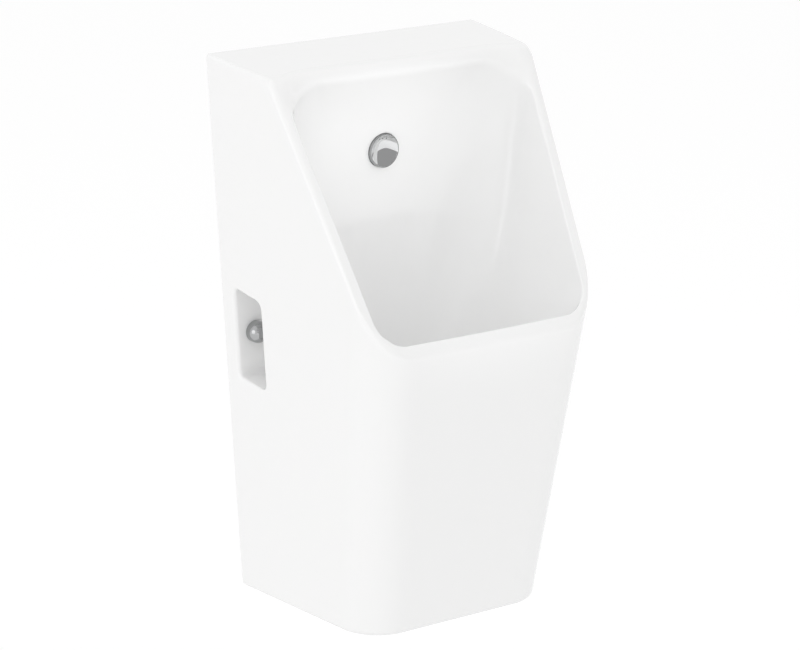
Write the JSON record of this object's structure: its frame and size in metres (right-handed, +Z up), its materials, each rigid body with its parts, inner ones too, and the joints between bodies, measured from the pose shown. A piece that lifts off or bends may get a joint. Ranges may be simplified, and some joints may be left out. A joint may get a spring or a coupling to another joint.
{
  "type": "wall-hung urinal",
  "caption": "Wall-hung ceramic urinal with a wedge-shaped body, a spray head in the back of its open bowl, side windows over the wall fixings and a bottle trap inside.",
  "frame": {"origin": "midway between the two wall studs, in the plane of the wall", "axes": "+Z up, +Y into the wall, so the bowl faces -Y, and +X to the right as seen from the room"},
  "size_m": [0.3444, 0.3187, 0.5797],
  "materials": {
    "glaze": "gloss",
    "chrome": "polished",
    "brass": "machined",
    "steel": "brushed",
    "zinc_steel": "zinc plated",
    "rubber": "matte",
    "white_plastic": "moulded"
  },
  "bodies": {
    "fixed_body": {"ceramic_body": "glaze", "wall_studs": "zinc_steel", "stud_washers": "zinc_steel", "stud_nuts": "zinc_steel", "stud_bushes": "white_plastic", "cap_snap_rings": "white_plastic", "spray_body": "chrome", "spray_gasket": "rubber", "spray_washer": "white_plastic", "spray_locknut": "brass", "flow_regulator": "white_plastic", "inlet_seal": "rubber", "inlet_tail": "brass", "drain_fitting": "steel", "drain_gasket": "rubber", "drain_washer": "rubber", "drain_locknut": "white_plastic", "trap_body": "white_plastic", "dip_tube": "white_plastic", "trap_seal": "rubber", "outlet_pipe": "white_plastic", "outlet_seal": "rubber"},
    "cap_left_body": {"cap_left": "chrome"},
    "cap_right_body": {"cap_right": "chrome"},
    "strainer_body": {"drain_strainer": "steel"},
    "insert_body": {"spray_insert": "chrome", "insert_oring": "rubber"},
    "cleaning_cap_body": {"cleaning_cap": "white_plastic", "cleaning_seal": "rubber"},
    "inlet_nut_body": {"inlet_union_nut": "brass"},
    "trap_nut_body": {"trap_nut": "white_plastic"},
    "outlet_nut_body": {"outlet_nut": "white_plastic"}
  },
  "joints": [
    {"name": "cap_left_pull", "type": "slide", "parent": "fixed_body", "child": "cap_left_body", "axis": [0, -1, 0], "range_m": [0, 0.024]},
    {"name": "cap_right_pull", "type": "slide", "parent": "fixed_body", "child": "cap_right_body", "axis": [0, -1, 0], "range_m": [0, 0.024]},
    {"name": "strainer_lift", "type": "slide", "parent": "fixed_body", "child": "strainer_body", "axis": [0, 0, 1], "range_m": [0, 0.06]},
    {"name": "spray_insert_pull", "type": "slide", "parent": "fixed_body", "child": "insert_body", "axis": [0, -1, 0], "range_m": [0, 0.025]},
    {"name": "cleaning_cap_drop", "type": "slide", "parent": "fixed_body", "child": "cleaning_cap_body", "axis": [0, 0, -1], "range_m": [0, 0.04]},
    {"name": "inlet_nut_turn", "type": "hinge", "parent": "fixed_body", "child": "inlet_nut_body", "pos_m": [0, -0.031, 0.1855], "axis": [0, 1, 0], "continuous": true},
    {"name": "trap_nut_turn", "type": "hinge", "parent": "fixed_body", "child": "trap_nut_body", "pos_m": [0, -0.146, -0.151], "axis": [0, 0, 1], "continuous": true},
    {"name": "outlet_nut_turn", "type": "hinge", "parent": "fixed_body", "child": "outlet_nut_body", "pos_m": [0, -0.083, -0.21], "axis": [0, 1, 0], "continuous": true}
  ]
}
